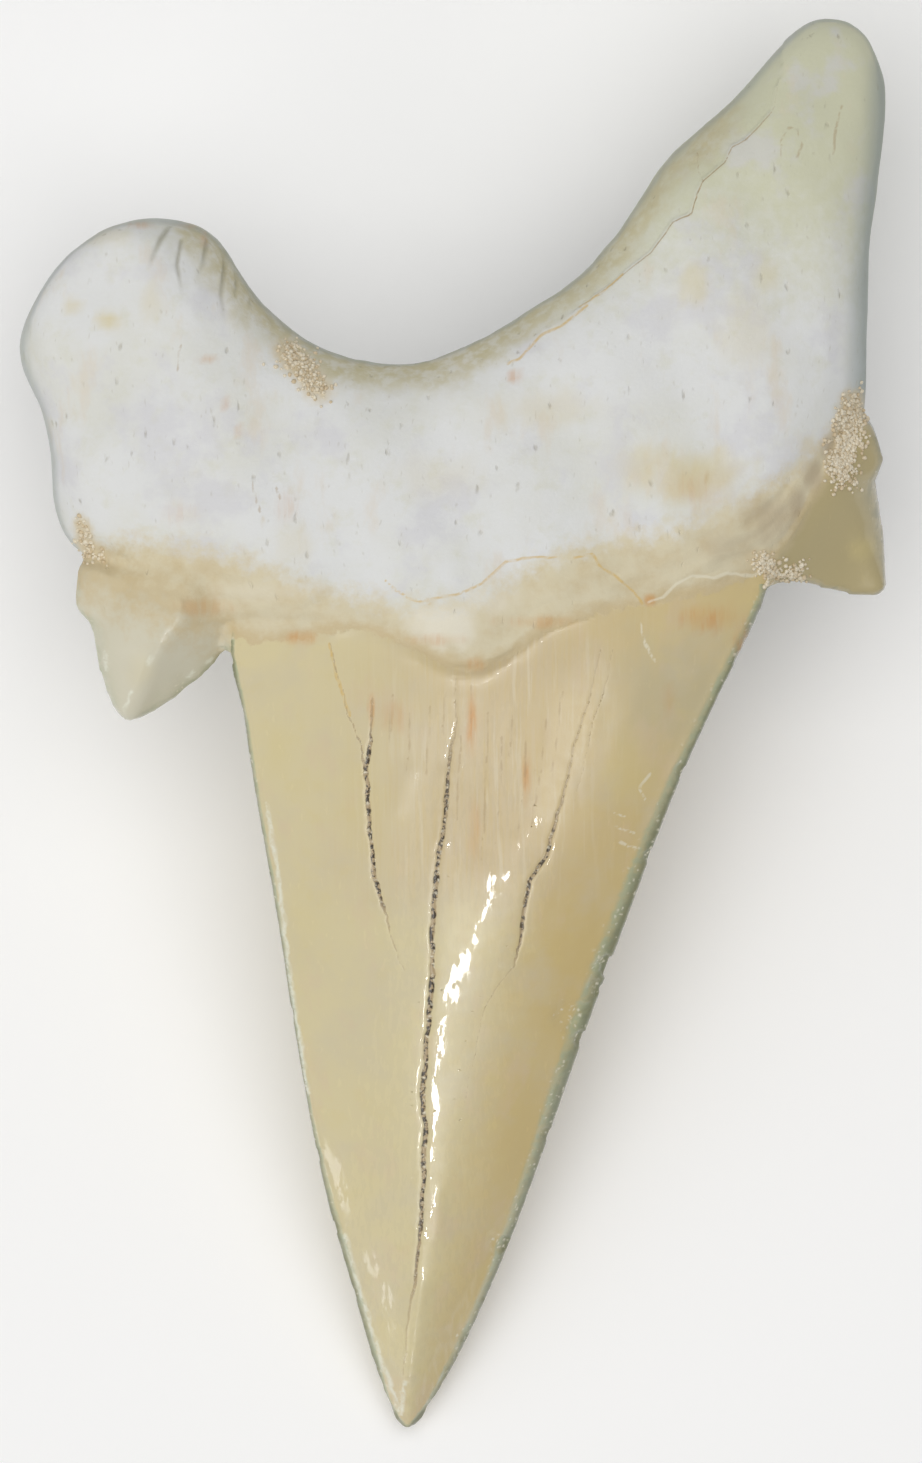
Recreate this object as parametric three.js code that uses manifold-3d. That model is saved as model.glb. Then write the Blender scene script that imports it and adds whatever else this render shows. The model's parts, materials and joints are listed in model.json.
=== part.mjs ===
// A fossil shark tooth: root, crown and side cusplets, grown as one solid.
// It lies on its strongly curved inner face, as a collector lays it down, so the flatter outer face is up.
// Millimetres. +Z is up, +Y runs from the crown's tip to the root, +X is to the right seen from above.
import * as THREE from "three";
import { mergeVertices } from "three/addons/utils/BufferGeometryUtils.js";
import Module from "manifold-3d";

// Driving dimensions
const rootTop = 17.5; // highest part of the root's outer face above the table
const lobeUnderside = 7.4; // underside of the two root lobes above the table
const bulgeDrop = 8.1; // how far the bulge on the root's inner face hangs below the lobes
const bulgeCentre = new THREE.Vector2(0.5, 8.8);
const bulgeSpread = new THREE.Vector2(10.5, 6.8);
const restPlane = 0.3; // height at which the bulge and the crown's belly are worn flat
const footDive = 2.2; // past its foot line the root's outer face drops this far, into the crown
const bandDepth = 0.65; // the wrinkled band above the foot line is hollowed by this much
const bandWidth = 4.4;
const collarDepth = 0.35; // the smooth collar on the inner face lies this far below the enamel
const collarWidth = 3.4;
const foramenRadius = 0.75; // the feeding hole in the bulge on the inner face
const foramenCentre = new THREE.Vector3(0.9, 12.9, 2.4);

const rootAround = 38; // corners round one section of the root
const seamCorner = 13; // the one of them that follows the foot line

const rootColour = 0xcfcfc6;

// Smooth steps, bumps and blends
const bump = (v, centre, halfWidth) => Math.exp(-(((v - centre) / halfWidth) ** 2));
const mix = THREE.MathUtils.lerp;

function smooth(from, to, v) {
  const t = THREE.MathUtils.clamp((v - from) / (to - from), 0, 1);
  return t * t * (3 - 2 * t);
}

// A smooth height that passes through hand-set knots of [place, height]
function track(knots) {
  const places = knots.map(([place]) => place);
  const heights = knots.map(([, height]) => height);
  const curve = new THREE.CubicInterpolant(places, heights, 1);
  return (v) => curve.evaluate(v)[0];
}

// Heights of the crown along its length: its outer face, its cutting edges and its inner face
const crownFront = track([
  [-35.4, 1.7],
  [-33.5, 3.0],
  [-30, 5.0],
  [-25, 7.3],
  [-15, 11.3],
  [-5, 14.8],
  [4, 16.75],
  [14, 16.6],
]);
const crownEdge = track([
  [-35.4, 1.4],
  [-33.5, 1.9],
  [-30, 3.5],
  [-25, 5.6],
  [-15, 9.5],
  [-5, 13.0],
  [4, 15.0],
  [14, 14.2],
]);
const crownBack = track([
  [-35.4, 1.1],
  [-33.5, 0.7],
  [-30, 0.3],
  [-25, 0.15],
  [-15, 0.7],
  [-5, 2.1],
  [4, 4.4],
  [14, 8.0],
]);

// Where the crown meets the root on the outer face: a shallow V, its lowest point right of the middle
const footLine = track([
  [-18.5, 6.6],
  [-14, 5.0],
  [-10.5, 4.1],
  [-7.6, 4.2],
  [-5.2, 4.7],
  [-2.7, 4.0],
  [0.8, 2.7],
  [5.3, 4.9],
  [9.3, 5.9],
  [13, 6.7],
  [16, 8.2],
  [18.6, 12.2],
  [20.4, 15.0],
]);

// The same line on the inner face, where the bulge reaches further down the crown
const collarLine = track([
  [-16, 5.5],
  [-9, 2.2],
  [0.5, -1.2],
  [10, 3.0],
  [17, 7.5],
]);

// The crown's outer face is hollowed a little at the middle of its base and keeled towards the tip
function crownFrontRelief(x, y) {
  const hollow = -0.6 * bump(x, 1.6, 4.4) * bump(y, -1.5, 6.5);
  const keelX = mix(-2.4, -0.7, smooth(-35, -18, y));
  const keel = 0.3 * bump(x, keelX, 1.5) * smooth(-18, -28, y) * smooth(-35.4, -33, y);
  const swell = 0.25 * bump(x, 2.2, 3.5) * bump(y, -10.5, 4.5);
  return hollow + keel + swell;
}

function crownBackRelief(x, y) {
  const below = collarLine(x) - y;
  return collarDepth * smooth(collarWidth + 0.9, collarWidth, below);
}

function rootFront(x, y) {
  const level = rootTop - 0.004 * (x - 1) ** 2 - 0.006 * Math.max(0, y - 20) ** 2;
  const above = y - footLine(x);
  const band = -bandDepth * smooth(bandWidth, 0.6, above) - 0.25 * bump(above, bandWidth - 0.6, 0.8);
  const dive = -footDive * smooth(0.05, -1.2, above);
  const lump = 0.3 * bump(x, -13, 5) * bump(y, 13, 6) + 0.3 * bump(x, 14, 5) * bump(y, 17, 7);
  const uneven = 0.12 * Math.sin(0.9 * x + 0.4 * y) + 0.1 * Math.sin(0.5 * x - 1.1 * y);
  const furrows = -0.35 * bump(x, -13.6, 0.9) * bump(y, 24, 2.6) - 0.25 * bump(x, -11.9, 0.8) * bump(y, 21, 3);
  return level + band + dive + lump + uneven + furrows;
}

function rootBack(x, y) {
  const bulge = bulgeDrop * bump(x, bulgeCentre.x, bulgeSpread.x) * bump(y, bulgeCentre.y, bulgeSpread.y);
  const lobes = lobeUnderside + 0.04 * Math.max(0, y - 24) ** 1.5 - 0.3 * bump(x, 15, 4) * bump(y, 22, 5);
  const uneven = 0.14 * Math.sin(0.8 * x - 0.6 * y) + 0.1 * Math.sin(1.3 * y + 0.3 * x);
  return lobes - bulge + uneven;
}

// A solid between two rails. Each station pairs a point of the left rail with one of the right, as
// [left x, left y, left z, right x, right y, right z]; in the first and the last they are one point.
// front and back give the height of the upper and the lower skin at (x, y), and frontEdge and backEdge
// how far a skin has risen from the rails at s, which runs from -1 on the left rail to 1 on the right.
// Where the rails are closer than roundWidth, the end is rounded over. A seam is a function that is
// positive on the left rail's side of a line, and one corner of every upper skin is put on that line.
function twoRailLoft(shape) {
  const { stations, steps, around, front, back, frontEdge, backEdge, roundWidth, seam } = shape;
  const railOf = (column) => {
    const points = stations.map((row) => new THREE.Vector3(...row.slice(column, column + 3)));
    return new THREE.CatmullRomCurve3(points, false, "centripetal");
  };
  const [left, right] = [railOf(0), railOf(3)];
  const positions = [];
  const half = around / 2;
  for (let i = 1; i < steps; i += 1) {
    const [a, b] = [left.getPoint(i / steps), right.getPoint(i / steps)];
    const openness = Math.min(1, a.distanceTo(b) / roundWidth);
    const endRound = Math.sqrt(1 - (1 - openness) ** 2);
    const seamShift = seam ? seamShareOf(a, b, seam) / evenShare(seamCorner, half) : 1;
    for (let j = 0; j < around; j += 1) {
      const upper = j <= half;
      const share = upper ? shiftedShare(evenShare(j, half), seamShift) : evenShare(j, half);
      const p = a.clone().lerp(b, share);
      const s = 2 * share - 1;
      const skin = upper ? front(p.x, p.y) : back(p.x, p.y);
      const risen = (upper ? frontEdge(s) : backEdge(s)) * endRound;
      positions.push(p.x, p.y, mix(p.z, skin, risen));
    }
  }
  positions.push(...left.getPoint(0), ...left.getPoint(1));
  return closedRings(positions, steps - 1, around);
}

// Shares of the way across a section, close together at the rails
const evenShare = (corner, half) => (1 - Math.cos((Math.PI * corner) / half)) / 2;

// The share at which the seam crosses the section from a to b, short of the right rail's own rounding
function seamShareOf(a, b, seam) {
  const farthest = 0.9;
  let [before, past] = [0, 1];
  for (let halving = 0; halving < 16; halving += 1) {
    const middle = (before + past) / 2;
    const p = a.clone().lerp(b, middle);
    [before, past] = seam(p.x, p.y) > 0 ? [middle, past] : [before, middle];
  }
  return Math.min(farthest, past);
}

// Stretches the shares before the seam's corner, and fits the rest between it and the right rail
function shiftedShare(share, shift) {
  const seamAt = evenShare(seamCorner, rootAround / 2);
  if (share <= seamAt) return share * shift;
  return mix(seamAt * shift, 1, (share - seamAt) / (1 - seamAt));
}

// Rings of corners joined by triangles, with the last two positions as the two end points
function closedRings(positions, rings, around) {
  const indices = [];
  const [firstEnd, lastEnd, lastRing] = [rings * around, rings * around + 1, (rings - 1) * around];
  for (let j = 0; j < around; j += 1) {
    const next = (j + 1) % around;
    indices.push(firstEnd, next, j);
    indices.push(lastEnd, lastRing + j, lastRing + next);
    for (let i = 0; i < lastRing; i += around) {
      indices.push(i + j, i + next, i + j + around);
      indices.push(i + next, i + next + around, i + j + around);
    }
  }
  return new THREE.BufferGeometry()
    .setAttribute("position", new THREE.Float32BufferAttribute(positions, 3))
    .setIndex(indices);
}

// How a skin rises from an edge: low and sharp on a blade, square and round on bone
const bladeEdge = (fullness) => (s) => Math.max(0, 1 - s * s) ** fullness;
const boneEdge = (leftSquareness, rightSquareness) => (s) =>
  Math.sqrt(Math.max(0, 1 - Math.abs(s) ** (s < 0 ? leftSquareness : rightSquareness)));

// Heights of the root's two rails: the rim of the notch, and the outside that runs on inside the crown
const notchRim = track([
  [-18.4, 11.2],
  [-12, 12.1],
  [-5, 13.6],
  [0, 13.8],
  [6, 13.3],
  [12, 12.3],
  [20, 10.8],
]);
const outerRim = track([
  [-21.7, 11.2],
  [-19, 12.1],
  [-12, 12.6],
  [-8, 11.4],
  [0.8, 9.6],
  [9, 10.8],
  [14, 12.4],
  [19, 12.3],
  [20.6, 11.8],
  [21.5, 11.0],
]);

// The root: its left rail runs along the notch between the lobes, its right rail round their outside
// and, hidden inside the crown, from one shoulder to the other
function rootGeometry() {
  const pair = (notchX, notchY, outerX, outerY) => [
    ...[notchX, notchY, notchRim(notchX)],
    ...[outerX, outerY, outerRim(outerX)],
  ];
  return twoRailLoft({
    stations: [
      [-18.4, 24.1, 11.2, -18.4, 24.1, 11.2],
      pair(-17.0, 24.85, -19.7, 22.9),
      pair(-15.2, 25.25, -20.95, 21.1),
      pair(-13.2, 25.0, -21.7, 19.0),
      pair(-11.9, 24.25, -21.45, 17.5),
      pair(-10.7, 22.6, -20.6, 15.6),
      pair(-9.5, 20.85, -20.15, 13.2),
      pair(-8.3, 19.75, -20.05, 11.0),
      pair(-6.6, 18.75, -19.1, 8.85),
      pair(-5.2, 18.25, -15.6, 7.0),
      pair(-4.1, 18.0, -11.9, 4.8),
      pair(-2.9, 17.9, -8.0, 2.0),
      pair(-1.4, 18.1, -3.6, -0.8),
      pair(0.2, 18.65, 0.8, -2.2),
      pair(1.7, 19.4, 5.0, -1.0),
      pair(3.2, 20.3, 9.4, 1.8),
      pair(4.8, 21.35, 13.4, 5.0),
      pair(6.2, 22.4, 16.6, 7.6),
      pair(7.4, 23.75, 19.0, 10.8),
      pair(8.5, 25.2, 20.2, 14.0),
      pair(9.6, 26.8, 20.6, 17.0),
      pair(10.6, 28.25, 20.65, 20.2),
      pair(12.2, 29.7, 20.8, 23.6),
      pair(13.9, 31.2, 21.1, 26.2),
      pair(14.9, 32.3, 21.4, 28.4),
      pair(15.8, 33.35, 21.55, 30.8),
      pair(16.9, 34.4, 21.35, 32.7),
      pair(18.1, 35.15, 20.7, 34.2),
      [19.7, 35.1, 10.8, 19.7, 35.1, 10.8],
    ],
    steps: 70,
    around: rootAround,
    seam: (x, y) => y - footLine(x),
    front: rootFront,
    back: rootBack,
    frontEdge: boneEdge(4.2, 5),
    backEdge: boneEdge(2.2, 3.4),
    roundWidth: 9,
  });
}

// The main cusp: its rails are the two cutting edges, and they close inside the root
function crownGeometry() {
  const rightLean = -0.6; // the crown is twisted a little, so its right edge lies lower
  const pair = (leftX, leftY, rightX, rightY) => [
    ...[leftX, leftY, crownEdge(leftY)],
    ...[rightX, rightY, crownEdge(rightY) + rightLean * smooth(-34, -20, rightY)],
  ];
  return twoRailLoft({
    stations: [
      [-2.35, -35.3, 1.4, -2.35, -35.3, 1.4],
      pair(-2.85, -34.95, -1.75, -35.0),
      pair(-3.2, -34.2, -1.25, -34.2),
      pair(-3.95, -32.2, -0.1, -32.3),
      pair(-5.2, -27.9, 1.95, -28.0),
      pair(-6.55, -23.0, 3.75, -23.4),
      pair(-7.85, -16.0, 6.0, -17.0),
      pair(-8.85, -9.6, 8.55, -10.0),
      pair(-9.9, -3.6, 10.95, -3.6),
      pair(-10.55, 0.6, 13.3, 1.6),
      pair(-11.15, 3.4, 15.65, 6.5),
      pair(-10.4, 6.2, 15.7, 8.8),
      pair(-6.0, 9.0, 9.0, 11.0),
      [1.0, 12.0, 12.0, 1.0, 12.0, 12.0],
    ],
    steps: 46,
    around: 36,
    front: (x, y) => crownFront(y) + crownFrontRelief(x, y),
    back: (x, y) => crownBack(y) + crownBackRelief(x, y),
    frontEdge: bladeEdge(0.9),
    backEdge: bladeEdge(0.66),
    roundWidth: 0.5,
  });
}

// The broad cusplet on the left shoulder, bent a little towards the table at its tip
function leftCuspletGeometry() {
  const middle = track([
    [0, 11.6],
    [4, 13.6],
    [10, 13.4],
  ]);
  const pair = (leftX, leftY, rightX, rightY) => [
    ...[leftX, leftY, middle(leftY) - 0.5],
    ...[rightX, rightY, middle(rightY) + 0.3],
  ];
  const keel = (x, y) => 0.3 * bump(x, -16.2 + 0.45 * y, 0.7) * smooth(0, 1.5, y);
  return twoRailLoft({
    stations: [
      [-16.2, 0.05, 11.5, -16.2, 0.05, 11.5],
      pair(-16.85, 0.4, -15.5, 0.25),
      pair(-17.35, 1.3, -14.0, 1.1),
      pair(-17.7, 2.4, -12.6, 2.2),
      pair(-18.0, 3.9, -11.6, 3.3),
      pair(-18.1, 5.2, -11.0, 4.2),
      pair(-18.2, 6.6, -9.8, 6.0),
      pair(-17.2, 8.6, -9.6, 8.0),
      [-13.0, 9.0, 12.6, -13.0, 9.0, 12.6],
    ],
    steps: 15,
    around: 22,
    front: (x, y) => middle(y) + mix(0.8, 2.3, smooth(0.2, 6, y)) + keel(x, y),
    back: (x, y) => middle(y) - mix(1.0, 4.2, smooth(0.2, 7, y)),
    frontEdge: bladeEdge(0.85),
    backEdge: bladeEdge(0.7),
    roundWidth: 0.8,
  });
}

// The one on the right shoulder points away from the crown and drops to the side
function rightCuspletGeometry() {
  const reach = (x, y) => Math.hypot(x - 21.4, y - 6.6); // from the cusplet's tip
  const middle = (x, y) => mix(10.6, 13.4, smooth(0, 8, reach(x, y)));
  const pair = (leftX, leftY, rightX, rightY) => [
    ...[leftX, leftY, middle(leftX, leftY) + 0.4],
    ...[rightX, rightY, middle(rightX, rightY) - 0.8],
  ];
  return twoRailLoft({
    stations: [
      [21.6, 6.5, 10.6, 21.6, 6.5, 10.6],
      pair(20.9, 6.3, 21.7, 7.1),
      pair(19.4, 6.4, 21.6, 9.0),
      pair(18.1, 6.75, 21.35, 10.8),
      pair(16.9, 7.05, 21.05, 12.1),
      pair(15.6, 6.9, 20.6, 13.9),
      pair(14.0, 8.2, 19.4, 15.0),
      [15.0, 12.6, 12.0, 15.0, 12.6, 12.0],
    ],
    steps: 14,
    around: 22,
    front: (x, y) => middle(x, y) + mix(0.7, 2.6, smooth(0.4, 8, reach(x, y))),
    back: (x, y) => middle(x, y) - mix(0.9, 4.0, smooth(0.4, 8, reach(x, y))),
    frontEdge: bladeEdge(0.85),
    backEdge: bladeEdge(0.7),
    roundWidth: 0.8,
  });
}

// A second, tiny cusplet: a blunt bud on the outer corner of each shoulder
function budGeometry({ stations, middle, rise }) {
  const [tipX, tipY] = stations[0];
  const swelling = (x, y) => mix(0.5, rise, smooth(0, 2, Math.hypot(x - tipX, y - tipY)));
  return twoRailLoft({
    stations,
    steps: 10,
    around: 16,
    front: (x, y) => middle + swelling(x, y),
    back: (x, y) => middle - swelling(x, y),
    frontEdge: bladeEdge(0.5),
    backEdge: bladeEdge(0.5),
    roundWidth: 1.5,
  });
}

function leftBudGeometry() {
  const middle = 13.4;
  const stations = [
    [-19.0, 5.9, middle, -19.0, 5.9, middle],
    [-18.9, 6.7, middle, -18.4, 5.2, middle],
    [-18.6, 8.1, middle, -17.2, 5.0, middle],
    [-15.8, 7.6, middle, -15.8, 7.6, middle],
  ];
  return budGeometry({ stations, middle, rise: 1.7 });
}

function rightBudGeometry() {
  const middle = 12.6;
  const stations = [
    [21.5, 13.15, middle, 21.5, 13.15, middle],
    [21.2, 12.4, middle, 21.2, 14.1, middle],
    [20.2, 11.9, middle, 20.6, 15.3, middle],
    [18.4, 13.6, middle, 18.4, 13.6, middle],
  ];
  return budGeometry({ stations, middle, rise: 1.8 });
}

const wasm = await Module();
wasm.setup();

// A closed geometry as a solid that can be joined and cut
function solidOf(geometry) {
  const bare = new THREE.BufferGeometry()
    .setAttribute("position", geometry.getAttribute("position"))
    .setIndex(geometry.getIndex());
  const merged = mergeVertices(bare, 1e-4);
  const triVerts = new Uint32Array(merged.index.array);
  return new wasm.Manifold(
    new wasm.Mesh({ numProp: 3, vertProperties: merged.attributes.position.array, triVerts }),
  );
}

function geometryOf(solid) {
  const mesh = solid.getMesh();
  const geometry = new THREE.BufferGeometry()
    .setAttribute("position", new THREE.BufferAttribute(mesh.vertProperties, 3))
    .setIndex(new THREE.BufferAttribute(mesh.triVerts, 1));
  geometry.computeVertexNormals();
  return geometry;
}

// Everything below the resting plane is worn away, which leaves the small flats that the tooth lies on
function wornAway() {
  const depth = 10;
  return new THREE.BoxGeometry(80, 100, depth).translate(0, 0, restPlane - depth / 2);
}

function foramen() {
  return new THREE.SphereGeometry(foramenRadius, 10, 8).scale(1.3, 1, 1.6).translate(...foramenCentre);
}

function toothGeometry() {
  const pieces = [
    rootGeometry(),
    crownGeometry(),
    leftCuspletGeometry(),
    rightCuspletGeometry(),
    leftBudGeometry(),
    rightBudGeometry(),
  ];
  const grown = pieces.map(solidOf).reduce((whole, piece) => whole.add(piece));
  return geometryOf(grown.subtract(solidOf(foramen())).subtract(solidOf(wornAway())));
}

const fossil = new THREE.MeshStandardMaterial({ color: rootColour, roughness: 0.55, metalness: 0 });
const tooth = new THREE.Mesh(toothGeometry(), fossil);
tooth.name = "tooth";

// The origin is on the table, under the middle of the tooth's plan
tooth.geometry.computeBoundingBox();
const { min, max } = tooth.geometry.boundingBox;
tooth.position.set(-(min.x + max.x) / 2, -(min.y + max.y) / 2, -min.z);

const fossilTooth = new THREE.Group();
fossilTooth.add(tooth);

export default fossilTooth;
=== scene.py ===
import json
import math
import random

import bpy
import numpy as np
from mathutils import Matrix, Vector, noise
from mathutils.bvhtree import BVHTree

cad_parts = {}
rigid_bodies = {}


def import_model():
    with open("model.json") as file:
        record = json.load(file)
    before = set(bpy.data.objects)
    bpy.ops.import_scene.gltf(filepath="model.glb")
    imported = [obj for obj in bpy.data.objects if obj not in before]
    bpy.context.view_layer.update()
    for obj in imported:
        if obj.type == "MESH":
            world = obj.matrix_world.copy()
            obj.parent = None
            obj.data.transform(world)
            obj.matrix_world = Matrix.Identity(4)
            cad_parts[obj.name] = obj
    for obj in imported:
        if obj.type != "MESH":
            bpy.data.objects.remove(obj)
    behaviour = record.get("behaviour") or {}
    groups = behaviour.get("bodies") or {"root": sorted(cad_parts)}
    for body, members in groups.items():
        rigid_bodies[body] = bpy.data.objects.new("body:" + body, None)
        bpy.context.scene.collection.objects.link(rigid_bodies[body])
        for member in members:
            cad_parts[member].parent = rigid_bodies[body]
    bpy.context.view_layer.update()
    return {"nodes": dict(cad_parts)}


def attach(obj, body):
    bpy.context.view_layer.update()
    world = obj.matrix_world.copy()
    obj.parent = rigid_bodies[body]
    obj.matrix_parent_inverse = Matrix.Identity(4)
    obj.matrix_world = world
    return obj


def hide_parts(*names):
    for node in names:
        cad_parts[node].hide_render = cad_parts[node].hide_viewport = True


# The fossil tooth lies with its outer face up. Places in the dictionaries are in millimetres, seen from
# above: x to the right, y from the crown's tip up to the root.
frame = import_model()
mm = 0.001
farAway = 9.0  # stands for a gap too wide to matter, in millimetres
print("frame loaded")


def deselectAll():
    for item in bpy.context.selected_objects:
        item.select_set(False)


def makeActive(item):
    deselectAll()
    item.select_set(True)
    bpy.context.view_layer.objects.active = item


def applyModifier(item, name, kind, **values):
    makeActive(item)
    modifier = item.modifiers.new(name, kind)
    for key, value in values.items():
        setattr(modifier, key, value)
    bpy.ops.object.modifier_apply(modifier=name)


def smoothStep(low, high, value):
    t = np.clip((value - low) / (high - low), 0, 1)
    return t * t * (3 - 2 * t)


def bump(value, centre, halfWidth):
    return np.exp(-((value - centre) / halfWidth) ** 2)


# a smooth line through given knots, evaluated on arrays
def track(knots):
    places = np.array([knot[0] for knot in knots], float)
    heights = np.array([knot[1] for knot in knots], float)
    slopes = np.gradient(heights, places)

    def height(value):
        value = np.clip(value, places[0], places[-1])
        i = np.clip(np.searchsorted(places, value) - 1, 0, len(places) - 2)
        width = places[i + 1] - places[i]
        t = (value - places[i]) / width
        rise = (2 * t**3 - 3 * t**2 + 1) * heights[i] + (3 * t**2 - 2 * t**3) * heights[i + 1]
        return rise + width * ((t**3 - 2 * t**2 + t) * slopes[i] + (t**3 - t**2) * slopes[i + 1])

    return height


# distance in plan from every point to a path, and how far along the path the nearest place is
def pathDistance(points, path):
    best = np.full(len(points), np.inf)
    along = np.zeros(len(points))
    corners = np.array(path, float)
    lengths = np.linalg.norm(np.diff(corners, axis=0), axis=1)
    total = lengths.sum()
    walked = 0.0
    for start, end, length in zip(corners[:-1], corners[1:], lengths):
        step = end - start
        t = np.clip(((points - start) @ step) / length**2, 0, 1)
        gap = np.linalg.norm(points - start - t[:, None] * step, axis=1)
        closer = gap < best
        best[closer] = gap[closer]
        along[closer] = (walked + t[closer] * length) / total
        walked += length
    return best, along


# distance in plan from every point to the nearest of some paths
def nearestPath(points, paths):
    return np.min([pathDistance(points[:, :2], path)[0] for path in paths], axis=0)


# how far each point lies to the left of a path, seen along it
def sideOfPath(points, path):
    best = np.full(len(points), np.inf)
    side = np.zeros(len(points))
    corners = np.array(path, float)
    for start, end in zip(corners[:-1], corners[1:]):
        step = (end - start) / np.linalg.norm(end - start)
        t = np.clip((points - start) @ step, 0, np.linalg.norm(end - start))
        offset = points - start - t[:, None] * step
        gap = np.linalg.norm(offset, axis=1)
        closer = gap < best
        best[closer] = gap[closer]
        side[closer] = (gap * np.sign(step[1] * offset[:, 0] - step[0] * offset[:, 1]))[closer]
    return side


# layered noise at every point, with its grain stretched by a scale for each axis
def noiseAt(points, scale, seed, depth=1):
    shift = Vector((seed * 7.3, seed * 3.1, seed * 5.7))
    stretched = points * np.array(scale)
    return np.array([noise.fractal(Vector(p) + shift, 1.0, 2.0, depth) for p in stretched])


# Where the surfaces of the tooth begin and end
toothLines = {
    "footLine": [(-18.5, 6.6), (-14, 5.0), (-10.5, 4.1), (-7.6, 4.2), (-5.2, 4.7), (-2.7, 4.0), (0.8, 2.7),
                 (5.3, 4.9), (9.3, 5.9), (13, 6.7), (16, 8.2), (18.6, 12.2), (20.4, 15.0)],  # enamel starts
    "bandLine": [(-18.2, 8.9), (-15.2, 9.1), (-10.2, 8.1), (-6.2, 6.7), (-1.7, 5.9), (0.8, 6.2),
                 (5.3, 8.5), (12.3, 10.2), (16.8, 12.7), (19.3, 14.9)],  # bare bone starts
    "collarLine": [(-16, 5.5), (-9, 2.2), (0.5, -1.2), (10, 3.0), (17, 7.5)],  # the inner face's foot
    "leftEdge": [(-35.3, -2.4), (-34.2, -3.2), (-32.2, -3.95), (-27.9, -5.2), (-23.0, -6.55), (-16.0, -7.85),
                 (-9.6, -8.85), (-3.6, -9.9), (0.6, -10.55), (3.4, -11.15)],  # the crown's cutting edges
    "rightEdge": [(-35.3, -2.3), (-34.2, -1.25), (-32.3, -0.1), (-28.0, 1.95), (-23.4, 3.75), (-17.0, 6.0),
                  (-10.0, 8.55), (-3.6, 10.95), (1.6, 13.3), (6.5, 15.65)],
}
footLine, bandLine, collarLine, leftEdge, rightEdge = map(track, toothLines.values())

# Lines of the outer face: path, half width, depth of the groove, and how strongly the line shows along its
# length as (share of the length, strength)
cracks = {
    "crownMiddle": {
        "path": [(0.05, 2.2), (0.1, 0.0), (-0.3, -2.3), (-0.45, -4.4), (-0.7, -6.3), (-0.9, -8.1),
                 (-1.1, -10.3), (-1.05, -12.5), (-1.3, -14.8), (-1.45, -17.0), (-1.6, -18.8),
                 (-1.35, -20.2), (-1.5, -21.3), (-1.6, -24.5), (-1.95, -27.8), (-2.4, -30.5),
                 (-2.5, -32.6)],
        "half": 0.15, "depth": 0.06,
        "shows": [(0, 0.15), (0.07, 0.3), (0.15, 0.75), (0.3, 0.9), (0.5, 1.0), (0.7, 0.95), (0.84, 0.6),
                  (0.9, 0.3), (1, 0.1)]},
    "crownLeft": {
        "path": [(-4.05, 1.3), (-4.15, -0.8), (-4.4, -2.6), (-4.25, -4.2), (-4.2, -5.3), (-3.95, -7.4),
                 (-3.65, -8.8), (-3.2, -10.4), (-2.5, -12.4)],
        "half": 0.13, "depth": 0.06,
        "shows": [(0, 0.3), (0.12, 0.5), (0.2, 1.0), (0.45, 0.9), (0.7, 0.85), (0.78, 0.4), (1, 0.12)]},
    "crownRight": {
        "path": [(7.3, 3.7), (6.75, 1.2), (6.05, -0.8), (5.7, -2.7), (4.95, -5.3), (4.6, -6.6), (3.8, -7.8),
                 (3.5, -9.3), (3.35, -10.6), (3.05, -12.05)],
        "half": 0.13, "depth": 0.06,
        "shows": [(0, 0.15), (0.3, 0.3), (0.5, 0.5), (0.62, 0.85), (0.9, 0.75), (1, 0.3)]},
    "crownFarLeft": {
        "path": [(-6.2, 4.0), (-5.9, 2.6), (-5.5, 1.4), (-5.2, 0.2), (-4.65, -0.9), (-4.45, -2.2)],
        "half": 0.08, "depth": 0.04, "shows": [(0, 0.3), (0.5, 0.35), (0.9, 0.5), (1, 0.5)]},
    "crownFarRight": {
        "path": [(7.95, 3.8), (7.5, 1.6), (6.9, 0.0), (6.5, -2.0), (6.0, -3.9)], "half": 0.08,
        "depth": 0.03, "shows": [(0, 0.2), (0.4, 0.3), (1, 0.1)]},
    "crownHair": {
        "path": [(3.05, -12.05), (2.3, -12.9), (1.5, -14.2), (1.0, -16.5), (0.45, -19.3)], "half": 0.09,
        "depth": 0.03, "shows": [(0, 0.25), (0.5, 0.16), (1, 0.05)]},
    "rootLobe": {
        "path": [(16.1, 31.8), (15.9, 30.6), (15.1, 29.7), (14.5, 29.1), (13.9, 28.8), (13.5, 28.0),
                 (12.9, 27.5), (12.45, 27.1), (12.1, 26.4), (11.8, 25.4), (10.9, 25.0), (10.4, 24.3),
                 (9.8, 23.5), (8.9, 22.8), (7.9, 21.9), (7.0, 21.3)],
        "half": 0.07, "depth": 0.07,
        "shows": [(0, 0.1), (0.1, 0.35), (0.5, 0.5), (0.75, 0.4), (0.9, 0.25), (1, 0.1)]},
    "rootBranch": {
        "path": [(12.05, 28.6), (12.1, 27.8), (12.45, 27.1)], "half": 0.06, "depth": 0.05,
        "shows": [(0, 0.3), (1, 0.35)]},
}
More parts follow.
